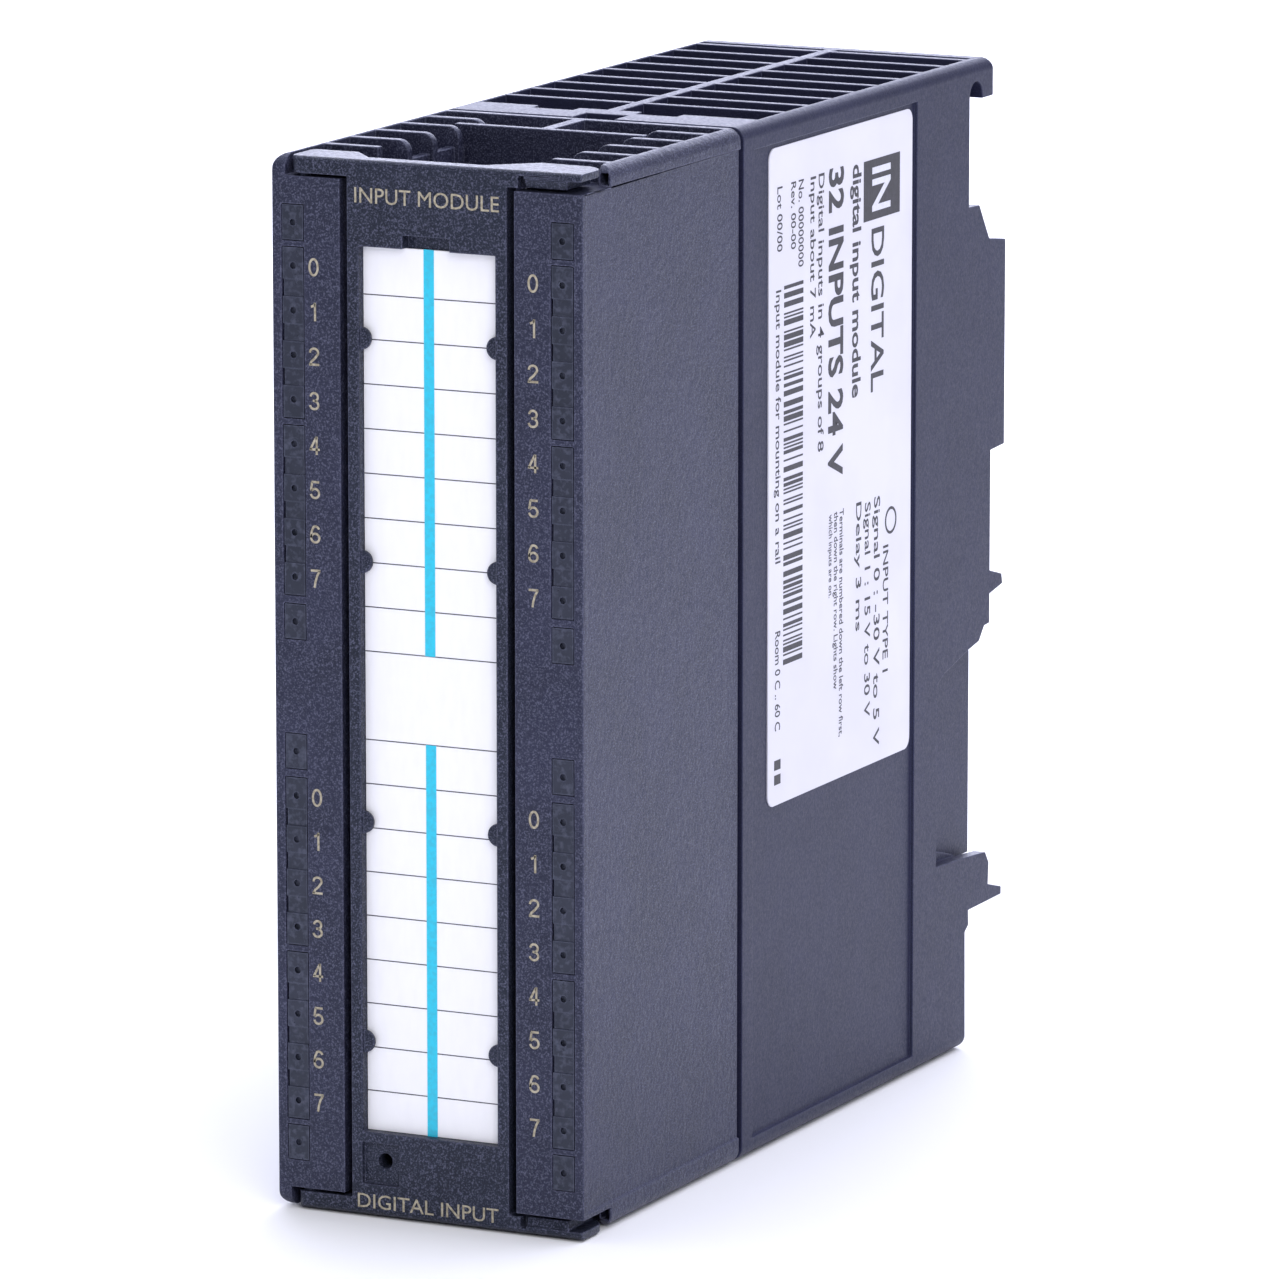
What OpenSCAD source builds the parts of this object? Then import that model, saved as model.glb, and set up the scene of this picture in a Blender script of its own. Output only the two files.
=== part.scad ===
// Digital input module for a rail-mounted programmable controller.
// X runs across the module, Y from the door to the rail and Z up.
// The origin is the centre of the footprint, on the surface that the module stands on.

/* [Overall size] */
// Width of the module across the rail
body_w = 40; // [38:0.5:60]
// Height of the module
body_h = 125; // [124:1:160]
// Depth from the door face to the rearmost edge
body_d = 120; // [118:1:160]

/* [Housing shells] */
// Thickness of the two side walls
side_wall = 1.7; // [1.2:0.1:2.1]
// Thickness of inner walls, ribs and rear panels
inner_wall = 1.2; // [1:0.1:1.6]
// Radius of the long outer edges
edge_r = 1.6; // [0.8:0.1:2.4]
// Depth of the front shell, from the door face to the seam
front_d = 42.2; // [41:0.2:46]
// Open seam between the two shells
seam = 0.8; // [0.4:0.1:1.2]
// Distance between the cooling ribs
rib_pitch = 6.65; // [5:0.05:9]
// Height of the cooling ribs
rib_h = 5; // [4:0.2:6]
// Depth of the label recess in the right side
side_recess = 0.45; // [0.2:0.05:0.8]

/* [Columns and bay] */
// Width of each light column beside the door
column_w = 8.8; // [7.5:0.1:10]
// Thickness of the column's front face
column_face = 1.6; // [1.2:0.1:2]
// Space above and below each column for the door's arms
end_gap = 2.45; // [2.3:0.05:4]
// Distance from the door face to the back wall of the wiring bay
bay_d = 31.6; // [28:0.2:33]

/* [Door] */
// Thickness of the door panel
door_t = 2.6; // [2.2:0.1:3.2]
// Gap between the door panel and each column
door_gap = 0.9; // [0.5:0.1:1.5]
// Thickness of the door's arms
arm_t = 2; // [1.4:0.1:2]
// Width of the frame at each side of the label window
window_frame = 1.5; // [1.2:0.1:2.5]
// Depth of the label window
window_d = 1.6; // [0.8:0.1:1.8]
// Radius of the hinge pin
pin_r = 0.9; // [0.6:0.1:1]
// Length of the hinge pin
pin_l = 2; // [1.2:0.1:2]

/* [Label rows and lights] */
// Height of one row on the label strip
row_pitch = 5.236; // [4.8:0.004:5.4]
// Distance between two lights
light_pitch = 5.22; // [4.8:0.01:5.3]
// Width of a light window
light_w = 2.7; // [2:0.1:3.2]
// Distance from the outer side to a light window
light_edge = 1.3; // [1:0.1:2]

/* [Electronics] */
// Thickness of the circuit boards
board_t = 1.6; // [1:0.1:1.6]
// Distance from a side wall's inner face to its board
board_gap = 2.1; // [2:0.1:2.6]
// Distance between the two rows of contacts
contact_rows = 12; // [9:0.5:14]

/* [Fixing screw] */
// Height of the fixing screw above the bottom
screw_z = 6.2; // [6:0.1:8]
// Radius of the thread
thread_r = 1.5; // [1.4:0.1:2]
// Length of the thread behind the rail face
thread_l = 5; // [3:0.5:8]
// Radius of the screw head
head_r = 2.75; // [2.4:0.05:2.75]
// Travel of the screw when it is undone
screw_travel = 5; // [3:0.5:6]

/* [Hidden] */

$fn = 48;
eps = 0.01;
fit = 0.05;            // running fit of pins and of the captive washer
slip = 0.1;            // easy fit of fixed pieces
gap = 0.35;            // air between pieces that move past each other
half_w = body_w / 2;
mid_z = body_h / 2;
wall_x = half_w - side_wall;
column_x = half_w - column_w;
column_z = [end_gap, body_h - end_gap];

// Wiring bay, between the columns
bay_wall_x = column_x + inner_wall;
bay_back_f = bay_d + inner_wall;

// Cooling ribs: the front shell's end on the seam, the rear shell's start behind its front band
band_f = [front_d + seam, front_d + seam + 7.3];
front_ribs = [for (k = [1:4]) front_d - k * 6.5];
first_rib_f = front_d - 5 * 6.5;
spine_x = -0.7;
spine_w = 1.6;

// Rear outline, measured forward from the rearmost edge
rail_f = body_d - 11.3;
back_f = body_d - 4.2;
bus_f = body_d - 20.2;
hook_f = [body_d - 7.5, back_f];
bus_z = [27, 48.1];
rear_rib_count = floor((rail_f - 2 - band_f[1]) / rib_pitch);

// Door
door_x = column_x - door_gap;
door_z = [0.1, body_h - 0.1];
arm_z = door_z[1] - arm_t;
window_x = door_x - window_frame;
window_z = [mid_z - 10 * row_pitch, mid_z + 10 * row_pitch];
pivot_x = -wall_x + 2;
pivot_f = 1.4;
pivot_cap = pin_l + 0.4;
strip_t = 0.4;
strip_f = window_d - strip_t;
nub_r = 1.35;
nub_z = [for (s = [-1, 1], d = [15.4, 41.6]) mid_z + s * d];
slot_recess = [4.87, 5.01, 0.7];
slot_hole_x = -6.23;
slot_hole_z = 6.68;
slot_hole_r = 0.9;

// Lights, counted outwards from the middle of the module
light_z = [for (k = [0:7]) 13 + k * light_pitch];
light_x = [half_w - light_edge - light_w, half_w - light_edge];
cell_l = 3.2;
guide_l = 3 * light_pitch + 4.3;
blank_l = 4.1;
guide_z = [for (s = [1, -1], g = [1, 0]) mid_z + s * (light_z[4 * g] + 1.5 * light_pitch)];
blank_z = [for (s = [1, -1], d = [54.6, 7.7]) mid_z + s * d];

// Boards stand upright, one behind each column
board_x = wall_x - board_gap;
board_in_x = board_x - board_t;
board_f = [14, bus_f - 3.8];
board_z = [8.2, body_h - 8.2];
lead_f = bay_back_f + 0.3;
contact_z = [for (k = [0:19]) mid_z + (k - 9.5) * row_pitch];
block_f = bay_d - 7.6;
block_x = contact_rows / 2 + 2.5;
block_z = [contact_z[0] - 2.4, contact_z[19] + 2.4];
insert_r = 2.4;
insert_l = 6;
insert_bore_r = 1.25;

// Bus socket at the rear
bus_mid_z = (bus_z[0] + bus_z[1]) / 2;
socket_x = 10.9;
socket_h = 11.8;
bus_board_f = bus_f - 5.8;

// Fixing screw
driver_r = 3.2;
tube_r = driver_r + inner_wall;
seat_f = rail_f - 20;
washer_t = 0.8;
shank_r = thread_r - 0.3;
head_l = 2.4;
under_head_f = seat_f - slip - washer_t - slip;

// The two values at lo and hi from c
function span(c, lo, hi) = [c + lo, c + hi];
function arc(c, r, a0, a1, n = 6) =
    [for (i = [0:n]) c + r * [cos(a0 + (a1 - a0) * i / n), sin(a0 + (a1 - a0) * i / n)]];

// Everything is drawn with Y counted from the door face, then seated on the footprint's centre
module seat() translate([0, -body_d / 2, 0]) children();

// A box between two values on each axis
module block(x, y, z)
    translate([x[0], y[0], z[0]]) cube([x[1] - x[0], y[1] - y[0], z[1] - z[0]]);

// A Y-Z outline carried along X
module across(x0, x1)
    translate([x0, 0, 0]) rotate([90, 0, 90]) linear_extrude(x1 - x0) children();

// An X-Z outline carried along Y
module along(f0, f1)
    translate([0, f1, 0]) rotate([90, 0, 0]) linear_extrude(f1 - f0) children();

// A cylinder along Y
module rod(r, f0, f1, x = 0, z = 0)
    translate([x, f0, z]) rotate([-90, 0, 0]) cylinder(r = r, h = f1 - f0);

// The same shape at the top and, turned over, at the bottom
module both_ends() {
    children();
    translate([0, 0, body_h]) mirror([0, 0, 1]) children();
}

module both_sides() {
    children();
    mirror([1, 0, 0]) children();
}

// Plain outer form of a shell: rounded long edges, from f0 to f1
module shell_form(f0, f1)
    along(f0, f1)
        translate([-half_w, 0]) {
            translate([edge_r, 0]) square([body_w - 2 * edge_r, body_h]);
            translate([0, edge_r]) square([body_w, body_h - 2 * edge_r]);
            for (x = [edge_r, body_w - edge_r], z = [edge_r, body_h - edge_r])
                translate([x, z]) circle(edge_r);
        }

// --- Rear shell ---------------------------------------------------------------

// Round-topped slot behind the rail hook, from the rail face to the hook's lip
function hook_slot() =
    let (r = (hook_f[0] - rail_f) / 2)
    concat([[rail_f, body_h - 4.9]], arc([rail_f + r, body_h - 2.6 - r], r, 180, 0, 12),
           [[hook_f[0], body_h - 4.9]]);

// Outline of a side wall, with the rail hook, the bus cut-out and the lower lug
module rear_side_outline()
    polygon(concat(
        [[band_f[0], 0], [body_d - 11, 0], [body_d - 11.2, 14.9], [body_d - 10.1, 15.6],
         [body_d - 10.2, 17.5], [body_d, 17.6], [body_d, 18.6], [body_d - 4.1, 19.7],
         [body_d - 3.9, 22.5], [body_d - 5, 24], [body_d - 12.3, 24.6], [bus_f, 25],
         [bus_f, bus_z[1]], [bus_f + 2.3, bus_z[1] + 1.1], [body_d - 10.8, 50.9],
         [body_d - 7.4, 51.5], [body_d - 5.8, 53.2], [back_f, 53.3], [back_f, 57],
         [body_d - 0.2, 57.7], [body_d - 0.5, 59], [back_f, 60],
         [back_f, body_h - 49.7], [body_d, body_h - 49.5], [body_d, body_h - 23.5],
         [body_d - 5, body_h - 22.8], [body_d - 8.1, body_h - 18.2], [rail_f, body_h - 18.1]],
        hook_slot(), [[back_f, body_h - 4.9]],
        arc([back_f - 1.5, body_h - 1.5], 1.5, 0, 90),
        [[band_f[0], body_h]]));

// Folded panel that closes the back between the side walls
module rear_panel_outline() {
    t = inner_wall + 0.4;
    polygon([
        [rail_f, body_h - 2.6], [rail_f, body_h - 18.1], [body_d - 8.1, body_h - 18.2],
        [body_d - 5, body_h - 22.8], [body_d, body_h - 23.5], [body_d, body_h - 49.5],
        [back_f, body_h - 49.7], [back_f, 53.3], [bus_f, bus_z[1]], [bus_f, bus_z[0]],
        [rail_f, 24.8], [rail_f, 0],
        [rail_f - t, 0], [rail_f - t, 24.8 - t], [bus_f - t, bus_z[0] - t],
        [bus_f - t, bus_z[1] + t], [back_f - t, 53.3 + t], [back_f - t, body_h - 49.7 + t],
        [body_d - t, body_h - 49.5 + t], [body_d - t, body_h - 23.5 - t],
        [body_d - 5 - t, body_h - 22.8 - t], [body_d - 8.1 - t, body_h - 18.2 - t],
        [rail_f - t, body_h - 18.1 - t], [rail_f - t, body_h - 2.6]]);
}

module hook_outline()
    polygon(concat(
        [[rail_f - 2, body_h - 4.9]], hook_slot(), [[back_f, body_h - 4.9]],
        arc([back_f - 1.5, body_h - 1.5], 1.5, 0, 90),
        [[hook_f[0], body_h], [hook_f[0], body_h - 1.2], [rail_f - 2, body_h - 1.2]]));

module rear_ribs() {
    block([-wall_x - eps, wall_x + eps], band_f, [body_h - inner_wall, body_h]);
    for (f = [band_f[1] - inner_wall, for (k = [1:rear_rib_count]) band_f[1] + k * rib_pitch])
        block([-wall_x - eps, wall_x + eps], [f, f + inner_wall], [body_h - rib_h, body_h]);
    block([spine_x - spine_w / 2, spine_x + spine_w / 2], [band_f[0], rail_f - eps],
          [body_h - rib_h - 1.5, body_h]);
}

// Last rib and the end of the spine, which stand on the hook's plate
module hook_ribs() {
    f = band_f[1] + (rear_rib_count + 1) * rib_pitch;
    block([-wall_x - eps, wall_x + eps], [f, f + inner_wall], [body_h - 2, body_h]);
    block([spine_x - spine_w / 2, spine_x + spine_w / 2], [rail_f - 2, hook_f[0] + eps],
          [body_h - 2, body_h]);
}

// Rails that hold the upper edge of a board
module board_rails()
    for (x = [board_in_x - slip - inner_wall, board_x + slip])
        block([x, x + inner_wall], [band_f[1] - inner_wall, board_f[1]],
              [board_z[1] - 1.5, body_h - rib_h + eps]);

module rear_housing() color([0.2, 0.2, 0.25]) seat()
    difference() {
        intersection() {
            union() {
                both_sides() across(wall_x, half_w) rear_side_outline();
                across(-wall_x - eps, wall_x + eps) rear_panel_outline();
                across(-wall_x - eps, wall_x + eps) hook_outline();
                both_ends() rear_ribs();
                hook_ribs();
                both_ends() both_sides() board_rails();
                // strips that reach into the front shell behind the seam
                both_sides() {
                    block([wall_x - slip - inner_wall, wall_x - slip],
                          [front_d - 2.5, band_f[0] + 2], [rib_h + 1, body_h - rib_h - 1]);
                    block([wall_x - slip - inner_wall, wall_x + eps],
                          [band_f[0], band_f[0] + 2], [rib_h + 1, body_h - rib_h - 1]);
                    // cheeks beside the bus socket
                    block([board_x - 0.6, board_x + 1], [bus_f - eps, back_f],
                          [bus_z[0] - 1, bus_z[1] + 1.5]);
                    block([board_x - 0.6, board_x + 1], [bus_f + 2.5, back_f],
                          [23.6, bus_z[0] - 1 + eps]);
                    block([board_x - 0.6, wall_x + eps], [bus_f - inner_wall, bus_f],
                          [bus_z[0] - 1, bus_z[1] + 1.5]);
                }
                rod(tube_r, band_f[0], rail_f, z = screw_z);
            }
            shell_form(front_d - 3, body_d);
        }
        rod(driver_r, band_f[0] - 1, seat_f, z = screw_z);
        rod(thread_r + slip, seat_f - 1, rail_f + 1, z = screw_z);
        // opening for the bus socket
        block([-socket_x - slip, socket_x + slip], [bus_f - 3, bus_f + 1],
              [bus_mid_z - socket_h / 2 - slip, bus_mid_z + socket_h / 2 + slip]);
        // notch and two shallow pockets in the front band
        both_ends() {
            block([-2.5, 3], [band_f[0] - 1, band_f[0] + 3.8], [body_h - 1, body_h + 1]);
            for (x = [-10.5, 3.2])
                block([x, x + 5.4], [band_f[1] - 2, band_f[1] + eps], [body_h - 0.7, body_h + 1]);
        }
        // recess for the rating label
        block([half_w - side_recess, half_w + 1], [band_f[0] + 3, body_d - 27.2],
              [2.3, body_h - 3]);
    }

// --- Front shell --------------------------------------------------------------

// A short rib with a rounded tip that stands over the bay's side wall
module tipped_rib(f) {
    tip_r = 1.5;
    tip_x = column_x - 0.6;
    along(f, f + inner_wall) {
        translate([tip_x, body_h - rib_h - 1]) square([wall_x + eps - tip_x, rib_h + 1 - tip_r]);
        translate([tip_x + tip_r, body_h - tip_r - eps])
            square([wall_x + eps - tip_x - tip_r, tip_r + eps]);
        translate([tip_x + tip_r, body_h - tip_r]) circle(tip_r);
    }
}

// Outline of a side wall; the right one is cut back for the door's grip
module front_side_outline(cut_f, r)
    difference() {
        square([front_d, body_h]);
        both_ends_2d() {
            translate([-1, column_z[1]]) square([cut_f + 1, end_gap + 1]);
            difference() {
                translate([cut_f - eps, body_h - r]) square([r, r + 1]);
                translate([cut_f + r, body_h - r]) circle(r);
            }
        }
    }

module both_ends_2d() {
    children();
    translate([0, body_h]) mirror([0, 1]) children();
}

module light_window(z, length)
    block([light_x[0] - slip, light_x[1] + slip], [-1, column_face + 1],
          span(z, -length / 2 - slip, length / 2 + slip));

module front_housing() color([0.17, 0.18, 0.23]) seat()
    difference() {
        intersection() {
            union() {
                across(-half_w, -wall_x) front_side_outline(0, 2);
                across(wall_x, half_w) front_side_outline(7.3, 1.5);
                both_sides() {
                    // column face and the bay's side wall
                    block([column_x, wall_x + eps], [0, column_face], column_z);
                    block([column_x, bay_wall_x], [0, bay_back_f], column_z);
                }
                both_ends() {
                    both_sides() {
                        // cap that carries the hinge pins, and the wall behind the arms
                        block([column_x, wall_x + eps], [0, first_rib_f + inner_wall],
                              [column_z[1] - pivot_cap, column_z[1]]);
                        block([column_x, wall_x + eps], [first_rib_f, first_rib_f + inner_wall],
                              [body_h - rib_h, body_h]);
                        for (f = front_ribs) tipped_rib(f);
                    }
                    // cross wall at the seam, and a rib from it to the bay's back wall
                    block([-wall_x - eps, wall_x + eps], [front_d - inner_wall, front_d],
                          [body_h - rib_h - 1, body_h]);
                    block([spine_x - spine_w / 2, spine_x + spine_w / 2],
                          [bay_back_f - eps, front_d - eps], [body_h - rib_h, body_h]);
                }
                block([-bay_wall_x, bay_wall_x], [bay_d, bay_back_f], [0, body_h]);
            }
            shell_form(0, front_d);
        }
        // windows for the light guides and the blanks
        both_sides() {
            for (z = guide_z) light_window(z, guide_l);
            for (z = blank_z) light_window(z, blank_l);
        }
        // sockets for the door's pins
        both_ends()
            translate([pivot_x, pivot_f, column_z[1] - pin_l - 0.2])
                cylinder(r = pin_r + fit, h = pin_l + 1);
        // slots for the contacts, and the way in for a screwdriver
        both_sides()
            block([contact_rows / 2 - 0.6, contact_rows / 2 + 0.6], [bay_d - 1, bay_back_f + 1],
                  [contact_z[0] - 1.2, contact_z[19] + 1.2]);
        rod(insert_r + slip, bay_d - 1, bay_back_f + 1, z = mid_z);
        rod(driver_r + 0.2, bay_d - 1, front_d + 1, z = screw_z);
        // shallow field on each side
        both_sides()
            block([half_w - 0.25, half_w + 1], [1.2, front_d + 1], [3.1, body_h - 2.5]);
        // pocket in the end of each right corner
        both_ends()
            block([wall_x + 0.3, half_w - 0.4], [7, 11.5], [column_z[1] + 0.25, body_h - 0.9]);
    }

// --- Door ---------------------------------------------------------------------

// Plan of the upper arms: the left one turns on the pin, the right one is the grip
module arm_plan() {
    polygon(concat(
        [[pivot_x, 0], [half_w - 0.2, 0], [half_w - 0.2, 4]],
        arc([half_w - 3.1, 4], 2.9, 0, 90),
        [[column_x, 7.2], [column_x - 5.4, 2.2], [-column_x + 2.9, 2.2], [-column_x - 0.5, 6],
         [pivot_x - 1, 6], [pivot_x - 1.4, 5.2], [pivot_x - 1.4, pivot_f]],
        arc([pivot_x, pivot_f], 1.4, 180, 270, 8)));
}

module door_arms() {
    difference() {
        translate([0, 0, arm_z]) linear_extrude(arm_t) arm_plan();
        // slot between the grip and the panel
        block([column_x + 0.55, column_x + 1.25], [-1, 1.4], [arm_z - 1, door_z[1] - 0.6]);
        // slanted front and end of the grip, under its plate
        across(column_x + 1.25 - eps, half_w + 1)
            polygon([[-1, arm_z - 1], [0.9, arm_z - 1], [0.35, door_z[1] - 0.95],
                     [-1, door_z[1] - 0.95]]);
        translate([0, 10, 0]) rotate([90, 0, 0]) linear_extrude(11)
            polygon([[half_w - 2.5, arm_z - 1], [half_w + 1, arm_z - 1],
                     [half_w + 1, door_z[1] - 0.9], [half_w - 2.1, door_z[1] - 0.9]]);
    }
    translate([pivot_x, pivot_f, column_z[1] - pin_l])
        cylinder(r = pin_r, h = arm_z - column_z[1] + pin_l + eps);
}

module front_door() color([0.15, 0.16, 0.21]) seat()
    difference() {
        intersection() {
            union() {
                block([-door_x, door_x], [0, door_t], door_z);
                both_ends() door_arms();
            }
            // front edges at the top and the bottom are rounded
            across(-half_w, half_w)
                polygon(concat(
                    arc([0.7, door_z[0] + 0.7], 0.7, 270, 180),
                    arc([0.7, door_z[1] - 0.7], 0.7, 180, 90),
                    [[10, door_z[1]], [10, door_z[0]]]));
        }
        difference() {
            union() {
                block([-window_x, window_x], [-1, window_d], window_z);
                block([-3.1, 2.9], [-1, window_d], [window_z[1] - eps, window_z[1] + 1.6]);
            }
            for (s = [-1, 1], z = nub_z) rod(nub_r, 0.35, 0.9, x = s * window_x, z = z);
        }
        // recess and hole for a slot number
        block([slot_hole_x - 2.71, slot_hole_x - 2.71 + slot_recess[0]], [-1, slot_recess[2]],
              [slot_hole_z - 2.81, slot_hole_z - 2.81 + slot_recess[1]]);
        rod(slot_hole_r, -1, door_t + 1, x = slot_hole_x, z = slot_hole_z);
    }

module label_strip() color([0.93, 0.93, 0.92]) seat()
    block([-window_x + fit, window_x - fit], [strip_f, window_d],
          [window_z[0] + fit, window_z[1] - fit]);

module rating_label() color([0.92, 0.92, 0.98]) seat() {
    label_f = [band_f[0] + 7.7, body_d - 28];
    label_z = [body_h - 83.3, body_h - 3.6];
    r = 1.5;
    across(half_w - side_recess, half_w - side_recess + 0.15) {
        translate([label_f[0] + r, label_z[0]])
            square([label_f[1] - label_f[0] - 2 * r, label_z[1] - label_z[0]]);
        translate([label_f[0], label_z[0] + r])
            square([label_f[1] - label_f[0], label_z[1] - label_z[0] - 2 * r]);
        for (f = [label_f[0] + r, label_f[1] - r], z = [label_z[0] + r, label_z[1] - r])
            translate([f, z]) circle(r);
    }
}

// --- Light guides and lights --------------------------------------------------

// Four lenses on one bar, each with a leg that reaches back to its light
module light_guide(z) color([0.36, 0.34, 0.45]) seat()
    difference() {
        union() {
            for (k = [-1.5:1:1.5]) {
                end = (abs(k) > 1) ? sign(k) * (guide_l / 2 - 1.5 * light_pitch - cell_l / 2) : 0;
                block(light_x, [0.1, column_face - 0.1],
                      [z + k * light_pitch - cell_l / 2 + min(end, 0),
                       z + k * light_pitch + cell_l / 2 + max(end, 0)]);
                block([board_x + 0.1, wall_x - slip], [column_face - 0.2, board_f[0] - 0.3],
                      [z + k * light_pitch - 1.3, z + k * light_pitch + 1.3]);
            }
            block([light_x[0] + 0.08, light_x[1] - 0.08], [0.3, column_face - 0.1],
                  [z - 1.5 * light_pitch, z + 1.5 * light_pitch]);
            block([light_x[0] + 0.5, min(light_x[1] - 0.7, wall_x - slip)],
                  [column_face - 0.2, column_face + 1.2],
                  [z - 1.5 * light_pitch, z + 1.5 * light_pitch]);
        }
        for (k = [-1.5:1:1.5])
            rod(0.4, -1, 0.55, x = (light_x[0] + light_x[1]) / 2, z = z + k * light_pitch);
    }

module window_blank(z) color([0.3, 0.29, 0.38]) seat()
    difference() {
        union() {
            block(light_x, [0.1, column_face - 0.1], [z - blank_l / 2, z + blank_l / 2]);
            block([board_x + 0.1, wall_x - slip], [column_face - 0.2, column_face + 1.6],
                  [z - 1.3, z + 1.3]);
        }
        rod(0.4, -1, 0.55, x = (light_x[0] + light_x[1]) / 2, z = z);
    }

module lights() color([0.75, 0.85, 0.7]) seat()
    for (s = [-1, 1], z = light_z) {
        block([board_x, board_x + 1.6], [board_f[0] + 0.2, board_f[0] + 3],
              span(mid_z + s * z, -1, 1));
        rod(0.7, board_f[0] - 0.2, board_f[0] + 0.3, x = board_x + 0.8, z = mid_z + s * z);
    }

// --- Electronics --------------------------------------------------------------

module board() color([0.1, 0.4, 0.2]) seat()
    block([board_in_x, board_x], board_f, board_z);

module bus_board() color([0.1, 0.4, 0.2]) seat()
    block([-board_in_x, board_in_x], [bus_board_f, bus_board_f + board_t],
          [bus_z[0] + 1, bus_z[1] - 1]);

module contacts() color([0.85, 0.75, 0.45]) seat()
    for (z = contact_z) {
        block(span(contact_rows / 2, -0.4, 0.4), [block_f - 8, lead_f + 0.8], span(z, -0.75, 0.75));
        block([contact_rows / 2 - 0.4, board_in_x], [lead_f, lead_f + 0.8], span(z, -0.75, 0.75));
    }

module contact_block() color([0.12, 0.12, 0.13]) seat()
    difference() {
        union() {
            block([-block_x, block_x], [block_f, bay_d], block_z);
            // ridge between the rows that guides the plug
            block([-2.2, 2.2], [block_f - 5, block_f + eps], [block_z[0] + 6, mid_z - 8]);
            block([-2.2, 2.2], [block_f - 5, block_f + eps], [mid_z + 8, block_z[1] - 16]);
        }
        for (s = [-1, 1], z = contact_z)
            block(span(s * contact_rows / 2, -0.45, 0.45), [block_f - 1, bay_d + 1],
                  span(z, -0.8, 0.8));
        rod(insert_r, block_f - 1, bay_d + 1, z = mid_z);
    }

module connector_insert() color([0.8, 0.65, 0.35]) seat()
    difference() {
        rod(insert_r, block_f, block_f + insert_l, z = mid_z);
        rod(insert_bore_r, block_f - 1, block_f + insert_l + 1, z = mid_z);
    }

module coding_key() color([0.1, 0.1, 0.1]) seat() {
    block([-3, 3], [block_f - 2, block_f], span(block_z[1], -14, -4));
    block([-1.6, 0.4], [block_f - 5, block_f - 2 + eps], span(block_z[1], -12.5, -8.5));
    block([-0.4, 1.6], [block_f - 4, block_f - 2 + eps], span(block_z[1], -8, -5.5));
}

module optocouplers() color([0.13, 0.13, 0.14]) seat()
    for (s = [-1, 1], g = [0, 1])
        block([board_in_x - 2.2, board_in_x], [52, 56.4],
              span(mid_z + s * (light_z[4 * g] + 1.5 * light_pitch), -5.15, 5.15));

module resistors() color([0.35, 0.5, 0.6]) seat()
    for (s = [-1, 1], z = light_z)
        rod(0.7, 20, 23.6, x = board_in_x - 0.7, z = mid_z + s * z);

module capacitors() color([0.72, 0.6, 0.45]) seat()
    for (s = [-1, 1], z = light_z)
        block([board_in_x - 1.2, board_in_x], [43, 45], span(mid_z + s * z, -0.6, 0.6));

module supply_capacitor() color([0.25, 0.3, 0.4]) seat()
    translate([board_in_x - 7.5, body_d - 40, mid_z + 30]) rotate([0, 90, 0])
        cylinder(r = 4, h = 7.5);

module bus_chip() color([0.11, 0.11, 0.12]) seat()
    block([-board_in_x, -board_in_x + 1.4], span(body_d - 45, -7, 7),
          span(mid_z + 20, -7, 7));

module crystal() color([0.75, 0.75, 0.76]) seat()
    across(-board_in_x, -board_in_x + 3.5)
        translate([body_d - 45, mid_z]) {
            translate([-3.4, -2.3]) square([6.8, 4.6]);
            for (f = [-3.4, 3.4]) translate([f, 0]) circle(2.3);
        }

module bus_socket() color([0.1, 0.1, 0.11]) seat()
    difference() {
        union() {
            block([-socket_x, socket_x], [bus_board_f + board_t, bus_f + 6],
                  span(bus_mid_z, -socket_h / 2, socket_h / 2));
            block([-socket_x - 1.5, socket_x + 1.5], [bus_f, bus_f + 1.2],
                  span(bus_mid_z, -socket_h / 2 - 1.5, socket_h / 2 + 1.5));
        }
        block([-socket_x + 1, socket_x - 1], [bus_f - 2, bus_f + 7],
              span(bus_mid_z, -socket_h / 2 + 1, socket_h / 2 - 1));
        for (k = [-3.5:1:3.5], r = [-1, 1])
            block(span(k * 2.54, -0.35, 0.35), [bus_board_f, bus_f],
                  span(bus_mid_z + r * 1.27, -0.35, 0.35));
    }

module bus_contacts() color([0.85, 0.75, 0.45]) seat()
    for (k = [-3.5:1:3.5], r = [-1, 1])
        block(span(k * 2.54, -0.3, 0.3), [bus_board_f + board_t, bus_f + 4.5],
              span(bus_mid_z + r * 1.27, -0.3, 0.3));

// --- Fixing screw -------------------------------------------------------------

module captive_washer() color([0.9, 0.9, 0.85]) seat()
    difference() {
        rod(driver_r - fit, seat_f - slip - washer_t, seat_f - slip, z = screw_z);
        rod(shank_r + fit, seat_f - 3, seat_f + 1, z = screw_z);
    }

module fixing_screw() color([0.7, 0.71, 0.74]) seat()
    difference() {
        union() {
            rod(head_r, under_head_f - head_l, under_head_f, z = screw_z);
            rod(shank_r, under_head_f - eps, rail_f + 0.2 + eps, z = screw_z);
            rod(thread_r, rail_f + 0.2, rail_f + 0.2 + thread_l, z = screw_z);
            rod(thread_r - 0.5, rail_f + 0.2 + thread_l - eps, rail_f + 0.7 + thread_l,
                z = screw_z);
        }
        for (a = [0, 90])
            translate([0, under_head_f - head_l - 1, screw_z]) rotate([0, a, 0])
                translate([-1.9, 0, -0.4]) cube([3.8, 2.4, 0.8]);
    }

module on_side(side) mirror([side == "left" ? 1 : 0, 0, 0]) children();

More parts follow.
